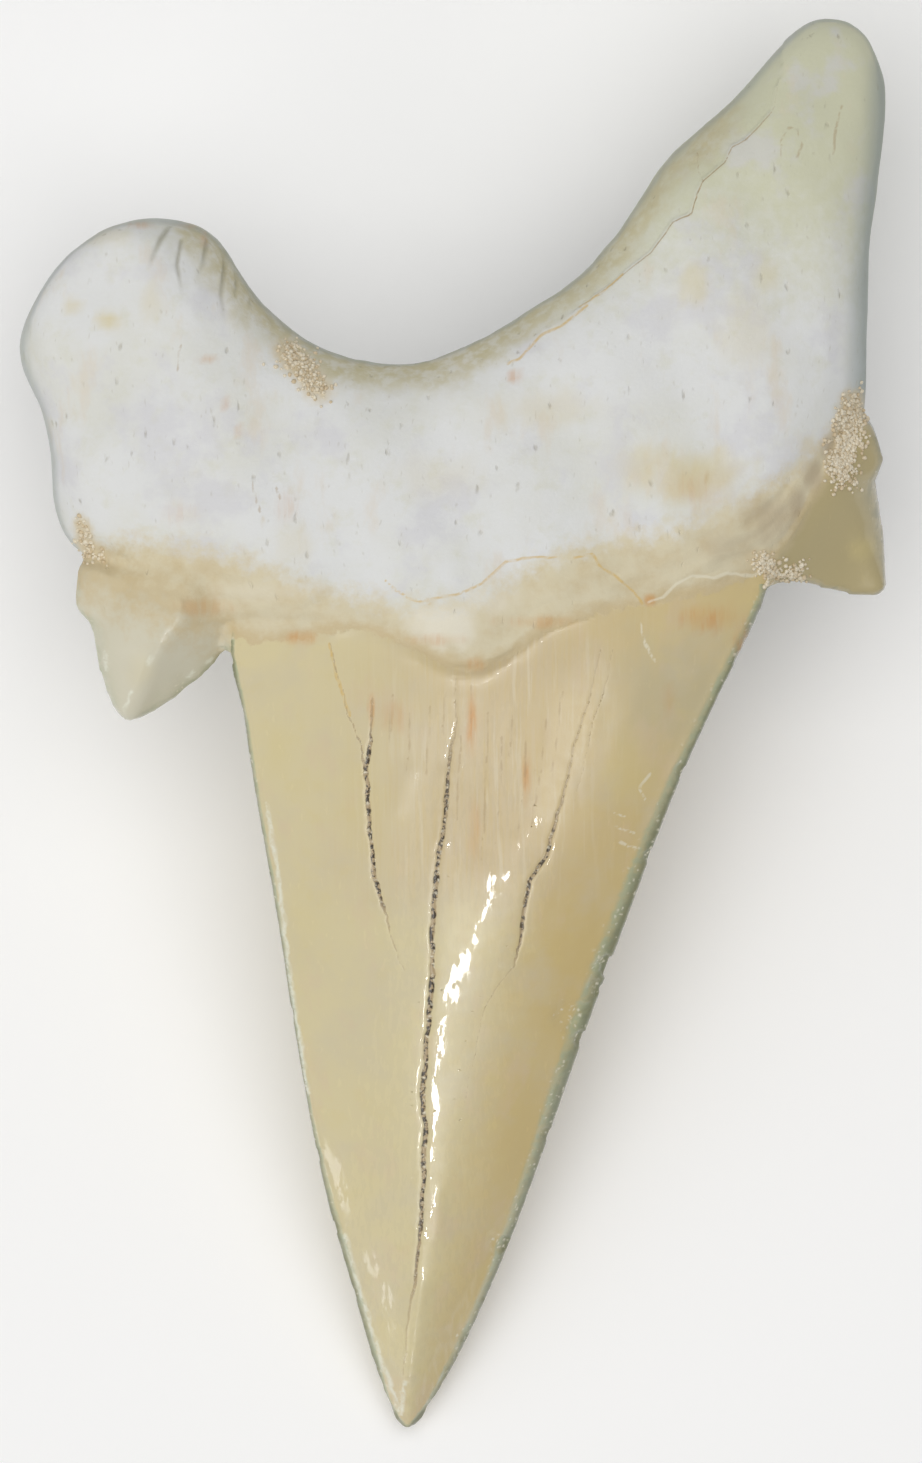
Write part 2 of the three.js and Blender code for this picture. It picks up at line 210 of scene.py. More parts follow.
# thin lines of one tone, each list the paths of its lines
tintedLines = {
    "orange": [
        [(-1.4, 6.2), (0.2, 6.45), (1.4, 7.0), (2.6, 8.1), (3.9, 8.3), (5.1, 8.35)],
        [(6.0, 8.3), (6.8, 8.4), (7.3, 7.9), (8.1, 7.3), (9.0, 6.6), (9.4, 6.0)],
        [(-3.4, 7.2), (-2.3, 6.3), (-1.2, 6.0)], [(-6.2, 4.0), (-5.9, 2.6), (-5.5, 1.4), (-5.2, 0.4)],
        [(6.7, 20.9), (5.3, 19.8), (4.4, 19.4), (3.3, 18.2), (2.6, 17.9)],
        [(8.4, 22.4), (7.2, 21.4), (6.2, 20.8)]],
    # painted highlight lines along the left cutting edge, the tip's ridge and the left cusplet's ridge and
    # bevel, and white flecks on the cusplet's right edge
    "paintedHighlightAndFlecks": [
        [(-5.45, -25.6), (-4.6, -28.7), (-3.5, -32.3), (-2.75, -34.4)],
        [(-9.35, -4.0), (-8.75, -7.5), (-8.05, -13.5), (-7.3, -18.5)], [(-17.3, 3.6), (-17.3, 2.7)],
        [(-15.0, 3.5), (-15.3, 3.0)], [(-16.0, 1.7), (-16.35, 0.8)], [(-13.3, 2.3), (-12.9, 2.65)],
        [(-12.3, 3.05), (-12.0, 3.25)], [(-2.45, -33.0), (-2.6, -34.5)]],
    "pale": [
        [(9.7, 6.1), (10.4, 6.3), (11.1, 7.0), (11.9, 7.4), (12.9, 7.3), (13.7, 7.6), (14.9, 7.4),
         (16.0, 7.9)],
        [(9.3, 5.0), (9.5, 4.0), (10.1, 3.1)], [(9.8, -2.5), (9.3, -3.1), (9.6, -3.8)],
        [(8.0, -4.5), (8.6, -4.6)], [(8.1, -5.1), (9.0, -5.4)], [(8.2, -5.9), (9.2, -6.2)]],
    "brown": [
        [(2.4, -0.6), (2.3, -3.2), (2.1, -6.0)], [(3.6, -0.8), (3.5, -3.0), (3.2, -5.4)],
        [(1.7, 0.6), (1.6, -3.0), (1.4, -6.8)], [(4.6, 0.2), (4.3, -2.4), (3.9, -5.0)],
        [(0.9, 2.0), (0.8, -0.8)], [(-1.2, 0.9), (-1.4, -2.6)], [(-2.2, 0.6), (-2.3, -2.4)],
        [(5.4, 1.6), (5.1, -0.8), (4.8, -3.4)], [(0.35, -0.6), (0.1, -4.8)], [(-3.1, 1.4), (-3.2, -1.0)],
        [(-0.4, 1.6), (-0.6, -0.6)], [(2.9, 0.4), (2.8, -1.6)],
        [(16.35, 28.3), (16.3, 29.1), (16.7, 29.75), (17.15, 29.6), (17.35, 28.9), (17.1, 28.2)],
        [(19.4, 30.9), (19.0, 29.6), (18.9, 28.4)], [(-10.1, 12.2), (-9.9, 11.4), (-9.6, 10.6)],
        [(-8.9, 11.9), (-8.6, 11.2)], [(-13.6, 18.9), (-13.8, 17.6)]],
}

# The fine surface of the tooth, in millimetres
skinShape = {
    "voxel": 0.34,
    "smoothTurns": 6,
    "edgeRegain": 0.03,  # what the smoothing takes off the cutting edges
    "tipRegain": 0.15,
    "boneLumps": 0.09,
    "boneGrain": 0.02,
    "bandWrinkles": 0.09,
    "footLip": 0.1,
    "crownFolds": 0.012,
    "crownWaves": 0.02,
    "streakRipples": 0.004,
    "bevelRidge": 0.035,
    "hugReach": 0.75,  # how far from the cutting edges, and below what place, the skin is laid on the solid
    "hugBelow": 3,
    "hugTurns": 3,
}
# how far from each kind of line the faces are made finer, turn by turn
refineReach = {"grooves": (0.4, 0.22), "edges": (0.7, 0.4), "tinted": 0.2, "cracks": (0.5, 0.24)}
# bites out of the cutting edges: place, reach and depth
edgeChips = [
    (7.7, -12.1, 0.8, 0.16), (5.6, -14.6, 0.8, 0.12), (2.3, -26.0, 0.55, 0.12), (7.1, -13.1, 0.5, 0.08),
    (6.3, -14.2, 0.5, 0.08), (-5.9, -25.2, 0.4, 0.06), (-6.8, -21.6, 0.4, 0.05), (-8.1, -14.5, 0.4, 0.05),
    (-13.4, 2.0, 0.7, 0.05), (-2.7, -34.2, 0.35, 0.04), (11.4, -2.4, 0.5, 0.06), (6.4, -15.7, 0.5, 0.1),
    (9.9, -6.6, 0.5, 0.06), (4.6, -20.6, 0.4, 0.06), (-5.0, -28.6, 0.35, 0.04), (0.3, -30.6, 0.4, 0.05)
]
# low ridges and bumps that catch the light: path, half width and height
ridges = [
    {"path": [(-14.7, 4.2), (-15.3, 2.6), (-16.0, 0.9), (-16.3, 0.3)], "half": 0.5, "height": 0.2},
    {"path": [(-17.4, 4.4), (-17.2, 2.6), (-16.7, 0.9)], "half": 0.22, "height": 0.08},
    {"path": [(20.2, 9.4), (21.2, 7.2)], "half": 0.4, "height": 0.08},
    {"path": [(-2.3, -2.4), (-2.75, -4.1)], "half": 0.5, "height": 0.045},
    {"path": [(-0.4, -2.6), (-0.5, -3.8)], "half": 0.45, "height": 0.04},
    {"path": [(-0.55, -4.6), (-0.6, -5.8)], "half": 0.45, "height": 0.04},
    {"path": [(3.0, -5.9), (2.7, -7.6)], "half": 0.4, "height": 0.02},
    {"path": [(-0.75, -23.5), (-0.85, -25.8)], "half": 0.35, "height": 0.05},
    {"path": [(-1.6, -28.0), (-2.0, -31.0), (-2.45, -34.4)], "half": 0.35, "height": 0.12},
]
# the strip between the right lobe's crack and the notch lies a little lower
sunkStrip = {"path": cracks["rootLobe"]["path"], "depth": 0.12, "fade": 0.25}
# grooves of the root's left lobe, from the notch edge down
lobeGrooves = [
    {"path": [(-14.0, 25.2), (-14.6, 24.2), (-15.3, 22.6)], "half": 0.13, "depth": 0.16},
    {"path": [(-13.6, 24.1), (-13.8, 22.9), (-13.5, 21.3)], "half": 0.1, "depth": 0.08},
    {"path": [(-12.8, 25.0), (-12.3, 24.2), (-12.5, 23.0), (-12.9, 22.0)], "half": 0.12, "depth": 0.14},
    {"path": [(-11.7, 24.1), (-11.4, 23.0), (-11.6, 21.4), (-11.4, 19.9)], "half": 0.11, "depth": 0.12},
    {"path": [(-11.0, 23.2), (-10.8, 22.2), (-11.0, 20.9)], "half": 0.09, "depth": 0.1},
    {"path": [(-10.4, 22.4), (-10.1, 21.4), (-10.3, 20.5)], "half": 0.09, "depth": 0.08},
    {"path": [(-9.8, 21.4), (-9.3, 20.6), (-9.0, 19.6)], "half": 0.12, "depth": 0.08},
]
# painted bluish shade along the right edge of the root's right lobe
lobeEdgeShade = {
    "path": [(21.6, 32.6), (21.5, 31.1), (21.3, 27.7), (20.9, 24.9), (20.6, 21.2), (20.5, 16.6)],
    "width": 1.3}
# the rough rim of the notch, tinted darker with painted shade where it turns away from the light
notchRimShade = {
    "path": [(-12.6, 24.9), (-11.2, 23.2), (-9.5, 20.8), (-7.2, 18.9), (-4.5, 17.9), (-1.0, 18.0),
             (2.0, 19.5), (5.0, 21.5), (7.6, 24.0), (10.0, 27.4), (13.0, 30.4)],
    "width": 2.0}


# a merged copy of the solid, remeshed to even small faces
def startSkin():
    makeActive(frame["nodes"]["tooth"])
    bpy.ops.object.duplicate()
    skin = bpy.context.active_object
    skin.name = "toothSkin"
    skin.data.name = "toothSkin"
    for key in list(skin.keys()):
        del skin[key]
    bpy.ops.object.parent_clear(type="CLEAR_KEEP_TRANSFORM")
    skin.data.materials.clear()
    bpy.ops.object.mode_set(mode="EDIT")
    bpy.ops.mesh.select_all(action="SELECT")
    bpy.ops.mesh.remove_doubles(threshold=0.002 * mm)
    bpy.ops.object.mode_set(mode="OBJECT")
    applyModifier(skin, "even", "REMESH", mode="VOXEL", voxel_size=skinShape["voxel"] * mm)
    applyModifier(skin, "soften", "SMOOTH", factor=0.5, iterations=skinShape["smoothTurns"])
    return skin


# three numbers for each vertex or face
def rowsOf(items, name):
    rows = np.zeros(len(items) * 3, np.float32)
    items.foreach_get(name, rows)
    return rows.reshape(-1, 3).astype(float)


def pointsOf(skin):
    return rowsOf(skin.data.vertices, "co") / mm, rowsOf(skin.data.vertices, "normal")


def movePoints(skin, places):
    skin.data.vertices.foreach_set("co", (places * mm).astype(np.float32).ravel())
    skin.data.update()


# subdivides the faces whose middle passes the test
def refineWhere(skin, test):
    makeActive(skin)
    mesh = skin.data
    chosen = test(rowsOf(mesh.polygons, "center") / mm, rowsOf(mesh.polygons, "normal"))
    mesh.vertices.foreach_set("select", np.zeros(len(mesh.vertices), bool))
    mesh.edges.foreach_set("select", np.zeros(len(mesh.edges), bool))
    mesh.polygons.foreach_set("select", chosen)
    bpy.context.tool_settings.mesh_select_mode = (False, False, True)
    bpy.ops.object.mode_set(mode="EDIT")
    bpy.ops.mesh.subdivide(number_cuts=1, ngon=False, quadcorner="INNERVERT")
    bpy.ops.object.mode_set(mode="OBJECT")


def edgeGap(fields):
    return np.minimum(np.abs(fields["leftGap"]), np.abs(fields["rightGap"]))


# lays the cutting edges back on the solid, where the remesh has rounded them
def hugEdges(skin):
    points, normals = pointsOf(skin)
    fields = fieldsOf(points, normals)
    near = (edgeGap(fields) < skinShape["hugReach"]) & (points[:, 1] < skinShape["hugBelow"])
    group = skin.vertex_groups.new(name="edges")
    group.add([int(i) for i in np.flatnonzero(near)], 1.0, "REPLACE")
    applyModifier(skin, "hug", "SHRINKWRAP", target=frame["nodes"]["tooth"],
                  wrap_method="NEAREST_SURFACEPOINT", vertex_group="edges")
    applyModifier(skin, "soften", "SMOOTH", factor=0.5, iterations=skinShape["hugTurns"],
                  vertex_group="edges")
    skin.vertex_groups.clear()


# how near each point is to any crack of the outer face
def crackGap(points):
    return nearestPath(points, [crack["path"] for crack in cracks.values()])


def onOuterFace(points, normals):
    return (normals[:, 2] > 0.15) & (points[:, 2] > 1)


def nearFoot(points, normals):
    above = points[:, 1] - footLine(points[:, 0])
    return onOuterFace(points, normals) & (above > -0.5) & (points[:, 1] < bandLine(points[:, 0]) - 0.6)


def nearGrooves(reach):
    def test(points, normals):
        gap = nearestPath(points, [groove["path"] for groove in lobeGrooves])
        return onOuterFace(points, normals * 2) & (gap < reach)
    return test


def nearEdges(reach):
    def test(points, normals):
        near = edgeGap(fieldsOf(points, normals)) < reach
        return onOuterFace(points, normals * 2) & near & (points[:, 1] < 4)
    return test


def inStreak(points, normals):
    rippled = fieldsOf(points, normals)["rippled"] > 0.4
    return onOuterFace(points, normals) & rippled & (crackGap(points) > refineReach["cracks"][0])


def nearTinted(points, normals):
    paths = [path for tone, paths in tintedLines.items() if tone != "paintedHighlightAndFlecks" for path in paths]
    near = nearestPath(points, paths) < refineReach["tinted"]
    taken = (fieldsOf(points, normals)["rippled"] > 0.4) | (crackGap(points) < refineReach["cracks"][0])
    return onOuterFace(points, normals) & near & ~taken


def nearCrack(reach):
    return lambda points, normals: onOuterFace(points, normals) & (crackGap(points) < reach)


# fields that the shape and the material read, each one number at every point
def fieldsOf(points, normals):
    x, y, z = points.T
    outer = smoothStep(-0.3, 0.3, normals[:, 2])
    above = outer * (y - footLine(x)) + (1 - outer) * (y - collarLine(x))
    above = above * (1 - 0.75 * outer * smoothStep(-9.5, -12, x))  # no crisp line on the left shoulder
    bandAbove = outer * (y - bandLine(x)) + (1 - outer) * (y - collarLine(x) - 0.3)
    leftGap = np.where(y > 5, farAway, x - leftEdge(y))
    rightGap = np.where(y > 7, farAway, rightEdge(y) - x)
    leftCusplet = smoothStep(-10.8, -11.4, x)
    rightCusplet = smoothStep(15.7, 16.4, x) * smoothStep(2, 4, y)
    rightBevel = 0.45 + 0.5 * bump(y, -13, 11) - 0.15 * smoothStep(-32, -35, y)
    leftBevel = 0.25 + 0.15 * smoothStep(-18, -26, y) - 0.15 * smoothStep(-31, -34, y)
    edgeShare = np.minimum(leftGap / leftBevel, rightGap / rightBevel)
    edgeShare = np.where((leftCusplet + rightCusplet > 0.5) | (outer < 0.2), farAway, edgeShare)
    enamelArea = outer * smoothStep(0.2, -0.2, above)
    return {"outer": outer, "above": above, "bandAbove": bandAbove, "leftGap": leftGap, "rightGap": rightGap,
            "leftCusplet": leftCusplet, "rightCusplet": rightCusplet, "edgeShare": edgeShare,
            "side": np.clip((x - leftEdge(y)) / np.maximum(rightEdge(y) - leftEdge(y), 0.5), 0, 1),
            "steepShade": smoothStep(0.42, 0.05, normals[:, 2]) * outer,
            "cuspletRimShade": smoothStep(0.75, 0.25, normals[:, 2]) * outer
            * np.maximum(leftCusplet, rightCusplet),
            "lobes": smoothStep(17, 33, y + 0.1 * x),
            "worn": np.interp(y, [-27, -23.5, -21.5, -13, -8, 0], [1.2, 1.1, 0.6, 0.6, 0.9, 0.8]) * enamelArea
            * smoothStep(4.5, 3.2, np.abs(x - 0.2 * y - 2.6)),
            "rippled": bump(x - 0.2 * y, 2.6, 2.4) * smoothStep(-30, -22, y) * smoothStep(-1, -3, y)
            * enamelArea,
            "medial": bump(x - 0.12 * y, 1.9, 5.6) * smoothStep(-11, -6, y) * smoothStep(3.5, 1.5, above)}


# the depth of the cracks at every point, and the two numbers from which the material draws them
def crackFields(points, facing):
    depth = np.zeros(len(points))
    gapAll = np.full(len(points), farAway)
    showAll = np.zeros(len(points))
    wander = 0.09 * noiseAt(points, (0.9, 0.9, 0.4), 3, 2) + 0.06 * noiseAt(points, (3.5, 3.5, 1.0), 13)
    shifted = points[:, :2] + wander[:, None] * facing[:, None]
    for crack in cracks.values():
        gap, along = pathDistance(shifted, crack["path"])
        shares, strengths = zip(*crack["shows"])
        show = np.interp(along, shares, strengths)
        half = crack["half"] * (0.2 + 0.8 * show)
        depth = np.maximum(depth, bump(gap, 0, half) * show * crack["depth"] * facing)
        nearer = gap / half < gapAll
        gapAll = np.where(nearer, gap / half, gapAll)
        showAll = np.where(nearer, show, showAll)
    return depth, np.where(facing > 0.5, gapAll, farAway), showAll


# the gap to the nearest of some thin coloured lines, which wander a little
def lineField(points, paths, facing):
    wander = 0.08 * noiseAt(points, (1.5, 1.5, 0.5), 17, 2)
    return np.where(facing > 0.5, nearestPath(points + wander[:, None], paths), farAway)


def sculptSkin(skin):
    points, normals = pointsOf(skin)
    fields = fieldsOf(points, normals)
    x, y, z = points.T
    outer = fields["outer"]
    facing = smoothStep(0.2, 0.5, normals[:, 2])
    bone = smoothStep(-0.1, 0.3, fields["bandAbove"])
    band = smoothStep(-0.15, 0.15, fields["above"]) * (1 - bone)
    enamel = 1 - smoothStep(-0.15, 0.15, fields["above"])
    lift = skinShape["boneLumps"] * noiseAt(points, (0.3, 0.3, 0.3), 1, 2) * (bone + 0.5 * band)
    lift += skinShape["boneGrain"] * noiseAt(points, (1.6, 0.9, 1.6), 2, 2) * bone
    ripple = noiseAt(np.c_[x, y - footLine(x), z], (0.45, 1.5, 0.5), 4, 2)
    lift += skinShape["bandWrinkles"] * ripple * band * outer
    lip = bump(fields["above"], 0.4, 0.4) * outer * smoothStep(-9, -4, x) * smoothStep(9, 4, x)
    lift += skinShape["footLip"] * lip * (0.6 + 0.8 * noiseAt(points, (0.7, 0.7, 0.7), 5))
    folds = noiseAt(points, (2.4, 0.16, 0.3), 6, 2) * fields["medial"]
    lift += skinShape["crownFolds"] * folds * enamel * outer
    lift += skinShape["crownWaves"] * noiseAt(points, (0.5, 0.25, 0.4), 7, 2) * enamel
    lift += skinShape["streakRipples"] * noiseAt(points, (2.6, 0.8, 1.0), 23, 2) * fields["rippled"]
    fields["grooved"] = np.zeros(len(points))
    for groove in lobeGrooves:
        gap, along = pathDistance(points[:, :2], groove["path"])
        lift -= groove["depth"] * bump(gap, 0, groove["half"]) * smoothStep(1.0, 0.3, along) * facing
        fading = smoothStep(1.05, 0.4, along) * facing
        fields["grooved"] = np.maximum(fields["grooved"], bump(gap, 0, groove["half"]) * fading)
    for ridge in ridges:
        gap, along = pathDistance(points[:, :2], ridge["path"])
        lift += ridge["height"] * bump(gap, 0, ridge["half"]) * facing
    notchSide = sideOfPath(points[:, :2], sunkStrip["path"])
    strip = smoothStep(0, sunkStrip["fade"], notchSide) * smoothStep(17, 22, y) * smoothStep(1, 3, x)
    fields["strip"] = strip * outer
    lift -= sunkStrip["depth"] * fields["strip"]
    chipping = np.zeros(len(points))
    ragged = 0.5 * noiseAt(points, (2.2, 2.2, 1.0), 8, 2)
    for chipX, chipY, reach, chipDepth in edgeChips:
        near = smoothStep(1.0, 0.5, np.hypot(x - chipX, y - chipY) / reach + ragged)
        lift -= chipDepth * near * enamel
        chipping = np.maximum(chipping, near * enamel)
    lift += skinShape["bevelRidge"] * bump(fields["edgeShare"], 1, 0.25) * enamel
    depth, fields["crackGap"], fields["crackShow"] = crackFields(points, facing)
    lift -= depth
    fields["chipping"] = chipping
    sandGap = np.min([pathDistance(points[:, :2], patch["path"])[0] / patch["spread"]
                      for patch in sandPatches], axis=0)
    fields["sandy"] = smoothStep(2.6, 1.0, sandGap + 0.8 * ragged) * outer
    rimGap = pathDistance(points[:, :2], notchRimShade["path"])[0] + 0.5 * noiseAt(points, (0.8, 0.8, 0.8), 21, 2)
    lobeGap = pathDistance(points[:, :2], lobeEdgeShade["path"])[0]
    fields["lobeEdgeShade"] = smoothStep(lobeEdgeShade["width"], 0.1, lobeGap) * outer
    fields["rim"] = smoothStep(notchRimShade["width"], 0.3, rimGap) * outer
    lift += 0.05 * noiseAt(points, (1.3, 1.3, 1.3), 22, 3) * fields["rim"]
    for name, paths in tintedLines.items():
        fields[name + "Gap"] = lineField(points, paths, facing)
    points = points + normals * lift[:, None]
    points[:, 0] -= skinShape["edgeRegain"] * smoothStep(1.0, 0.1, fields["leftGap"])
    points[:, 0] += skinShape["edgeRegain"] * smoothStep(1.0, 0.1, fields["rightGap"])
    points[:, 1] -= skinShape["tipRegain"] * smoothStep(-33.8, -35.1, y) * bump(x, -2.45, 0.7)
    points[:, 2] = np.maximum(points[:, 2], 0)
    movePoints(skin, points)
    return fields


# writes a field to the mesh, where the material reads it
def writeField(skin, name, values):
    layer = skin.data.attributes.new(name, "FLOAT", "POINT")
    layer.data.foreach_set("value", values.astype(np.float32))


# Coloured places of the outer face, centre, half sizes and strength
stains = {
    "orange": [(-4.1, 0.6, 0.2, 0.9, 0.8), (0.9, 0.0, 0.3, 1.5, 0.9), (-3.0, 0.4, 1.1, 0.8, 0.35),
               (3.6, -2.6, 0.25, 1.3, 0.8), (1.0, -5.3, 0.3, 1.5, 0.5), (12.6, 5.3, 1.5, 0.7, 0.7),
               (14.4, 3.9, 0.5, 1.3, 0.5), (-7.6, 4.3, 1.0, 0.4, 0.7), (-12.2, 18.2, 0.45, 0.3, 0.9),
               (-10.6, 14.6, 0.3, 0.3, 0.8), (-11.3, 16.0, 0.25, 0.25, 0.7), (-13.7, 10.5, 1.0, 0.6, 0.2),
               (-8.3, 10.8, 0.7, 0.9, 0.22), (-12.5, 24.2, 0.25, 0.5, 0.5), (-15.6, 24.9, 0.8, 0.25, 0.35),
               (-13.0, 25.0, 0.7, 0.25, 0.4), (3.0, 17.3, 0.4, 0.35, 0.6), (4.2, 5.1, 2.0, 0.35, 0.4),
               (-1.0, 4.2, 1.4, 0.3, 0.4), (1.0, 3.0, 0.7, 0.4, 0.5), (9.8, 6.2, 0.4, 0.3, 0.7),
               (12.2, 11.6, 1.4, 1.0, 0.25), (-12.5, 5.8, 1.6, 0.5, 0.35), (10.7, 1.2, 0.3, 0.9, 0.4)],
    "olive": [(11.0, 1.5, 4.2, 3.6, 1.0), (6.0, 3.0, 3.0, 1.4, 0.5)],
    "ochre": [(20.0, 7.8, 1.3, 0.7, 0.7), (18.2, 9.4, 0.9, 1.2, 0.3), (6.5, -12.5, 3.0, 6.0, 1.0),
              (8.6, -7.0, 2.4, 4.5, 0.7), (3.6, -20.5, 2.0, 5.0, 0.7), (1.6, -28.5, 1.2, 3.0, 0.5)],
    "yellow": [(-17.2, 20.1, 0.8, 0.6, 0.9), (-19.0, 20.8, 0.6, 0.5, 0.5), (-15.0, 21.0, 0.6, 1.2, 0.4),
               (12.3, 12.2, 2.4, 1.8, 0.8), (9.4, 12.9, 1.4, 1.3, 0.5), (12.0, 21.9, 0.9, 1.2, 0.5),
               (15.5, 22.4, 0.8, 1.0, 0.4), (14.6, 19.4, 1.6, 2.4, 0.3), (-1.0, 12.3, 2.6, 1.2, 0.25),
               (-8.8, -1.2, 0.8, 1.6, 0.5), (8.6, -2.3, 1.4, 2.2, 0.5), (13.5, 10.4, 1.6, 0.5, 0.6),
               (-17.4, 24.4, 1.6, 0.6, 0.3), (4.8, 15.8, 2.6, 1.0, 0.35), (-8.0, 9.0, 1.2, 1.4, 0.3),
               (-1.2, -12.0, 0.8, 2.5, 0.2), (17.6, 14.0, 0.5, 0.5, 0.5), (20.4, 8.8, 0.9, 0.7, 0.6),
               (-15.6, 2.6, 0.8, 1.0, 0.25), (-4.6, -3.5, 1.6, 2.4, 0.3), (-7.4, -10.5, 1.2, 2.6, 0.3)],
    # painted shadow in the crease between the root and the right cusplet, and one darker patch on the left
    # cusplet
    "creaseShadeAndPatch": [(18.7, 13.8, 0.4, 1.0, 0.9), (17.9, 12.3, 0.55, 1.0, 0.9), (17.1, 11.0, 0.6, 1.0, 0.9),
             (15.9, 10.3, 1.7, 1.3, 0.75), (13.4, 8.9, 1.4, 0.7, 0.4), (-13.0, 1.2, 1.0, 0.8, 0.35)],
    "dulled": [(6.2, -0.4, 3.0, 3.6, 1.0), (5.6, -3.8, 2.0, 2.6, 1.0)],
    "bandPale": [(-0.6, 5.0, 2.2, 1.3, 1.0), (1.6, 6.2, 2.0, 0.8, 0.7), (-9.5, 6.6, 3.0, 0.5, 0.3)],
    "dashes": [(-9.6, 11.2, 3.2, 2.6, 1.0), (11.2, 12.4, 4.0, 3.4, 1.0), (-3.0, 12.0, 4.0, 2.5, 0.5),
               (3.5, 14.5, 5.0, 2.0, 0.5), (14.0, 22.0, 4.0, 5.0, 0.3), (-14.0, 12.0, 3.0, 4.0, 0.4)],
}


# where the sand lies: a path, how far the grains stray from it, and their number
sandPatches = [
    {
        "path": [(19.9, 16.1), (19.7, 15.0), (19.4, 13.8), (19.2, 12.9), (19.5, 12.1)], "spread": 0.36,
        "grains": 600},
    {"path": [(20.2, 14.6), (19.9, 13.6), (19.3, 12.9)], "spread": 0.3, "grains": 140},
    {"path": [(15.2, 8.2), (15.9, 7.5), (17.3, 7.5)], "spread": 0.32, "grains": 260},
    {"path": [(-8.4, 18.6), (-7.6, 17.8), (-6.7, 16.7)], "spread": 0.36, "grains": 230},
    {"path": [(-18.6, 9.9), (-18.3, 8.8), (-17.6, 8.2)], "spread": 0.25, "grains": 80},
]


def stainField(points, spots, outer):
    x, y = points[:, 0], points[:, 1]
    ragged = 0.35 * noiseAt(points, (1.4, 0.8, 1.0), 11, 3)
    total = np.zeros(len(points))
    for centreX, centreY, halfX, halfY, strength in spots:
        reach = np.hypot((x - centreX) / halfX, (y - centreY) / halfY) + ragged
        total = np.maximum(total, strength * smoothStep(1.3, 0.2, reach))
    return total * outer


shapeOnly = ("outer", "leftGap", "rightGap", "rippled")  # fields that the material doesn't read


def makeSkin():
    skin = startSkin()
    print("skin remeshed:", len(skin.data.polygons), "faces")
    for zone in (nearFoot, *map(nearGrooves, refineReach["grooves"]), *map(nearEdges, refineReach["edges"]),
                 inStreak, nearTinted):
        refineWhere(skin, zone)
    hugEdges(skin)
    for reach in refineReach["cracks"]:
        refineWhere(skin, nearCrack(reach))
    print("skin refined:", len(skin.data.polygons), "faces")
    fields = sculptSkin(skin)
    points, normals = pointsOf(skin)
    for name, spots in stains.items():
        fields[name] = stainField(points, spots, fields["outer"])
    for name, values in fields.items():
        if name not in shapeOnly:
            writeField(skin, name, values)
    makeActive(skin)
    bpy.ops.object.shade_smooth()
    print("skin sculpted:", len(skin.data.polygons), "faces")
    return skin


# the colour that a picture shows as these three numbers, as the shader wants it
def tone(*levels):
    return tuple(((level / 255 + 0.055) / 1.055) ** 2.4 for level in levels) + (1,)


# joins each input to a socket or sets it to a value
def setInputs(tree, node, inputs):
    for key, value in inputs.items():
        if isinstance(value, bpy.types.NodeSocket):
            tree.links.new(value, node.inputs[key])
        else:
            node.inputs[key].default_value = value
    return node


def addNode(tree, kind, inputs=None, **values):
    node = tree.nodes.new("ShaderNode" + kind)
    for key, value in values.items():
        setattr(node, key, value)
    return setInputs(tree, node, inputs or {})


def math2(tree, operation, first, second):
    return addNode(tree, "Math", {0: first, 1: second}, operation=operation).outputs[0]


def ramp(tree, value, low, high, newLow=0.0, newHigh=1.0):
    node = addNode(tree, "MapRange", {"Value": value, "From Min": low, "From Max": high,
                                      "To Min": newLow, "To Max": newHigh},
                   interpolation_type="SMOOTHSTEP")
    return node.outputs["Result"]


def mixColour(tree, share, first, second):
    return addNode(tree, "Mix", {"Factor": share, 6: first, 7: second}, data_type="RGBA").outputs[2]


# a group that turns a place and some numbers into one mask
def newGroup(name, **numbers):
    group = bpy.data.node_groups.new(name, "ShaderNodeTree")
    group.interface.new_socket("Place", in_out="INPUT", socket_type="NodeSocketVector")
    for socketName, value in numbers.items():
        socket = group.interface.new_socket(socketName, in_out="INPUT", socket_type="NodeSocketFloat")
        socket.default_value = value
    group.interface.new_socket("Mask", in_out="OUTPUT", socket_type="NodeSocketFloat")
    given = group.nodes.new("NodeGroupInput").outputs
    return group, given, group.nodes.new("NodeGroupOutput").inputs["Mask"]


def useGroup(tree, group, inputs):
    return addNode(tree, "Group", inputs, node_tree=group).outputs["Mask"]


# a material without nodes yet, but for the place on the object in millimetres
def startMaterial(name):
    material = bpy.data.materials.new(name)
    material.use_nodes = True
    tree = material.node_tree
    tree.nodes.clear()
    coordinate = addNode(tree, "TexCoord")
    place = addNode(tree, "Mapping", {"Vector": coordinate.outputs["Object"],
                                      "Scale": (1 / mm, 1 / mm, 1 / mm)}).outputs[0]
    return material, tree, place


# soft irregular patches
def patchesGroup():
    group, given, mask = newGroup("patches", Scale=1.0, Low=0.45, High=0.6)
    texture = addNode(group, "TexNoise", {"Vector": given["Place"], "Scale": given["Scale"],
                                          "Detail": 4.0, "Roughness": 0.6})
    group.links.new(ramp(group, texture.outputs["Fac"], given["Low"], given["High"]), mask)
    return group


# small scattered pits or specks, only some of the cells filled
def specksGroup():
    group, given, mask = newGroup("specks", Scale=2.0, Size=0.2, Share=0.3)
    warp = addNode(group, "TexNoise", {"Vector": given["Place"], "Scale": 3.0})
    pushed = addNode(group, "VectorMath", {0: warp.outputs["Color"], 1: (0.35, 0.35, 0.35)},
                     operation="MULTIPLY")
    moved = addNode(group, "VectorMath", {0: given["Place"], 1: pushed.outputs[0]})
    cells = addNode(group, "TexVoronoi", {"Vector": moved.outputs[0], "Scale": given["Scale"],
                                          "Randomness": 1.0})
    dot = ramp(group, cells.outputs["Distance"], given["Size"], 0.0)
    pick = addNode(group, "SeparateColor", {0: cells.outputs["Color"]})
    chosen = math2(group, "LESS_THAN", pick.outputs[0], given["Share"])
    group.links.new(math2(group, "MULTIPLY", dot, chosen), mask)
    return group


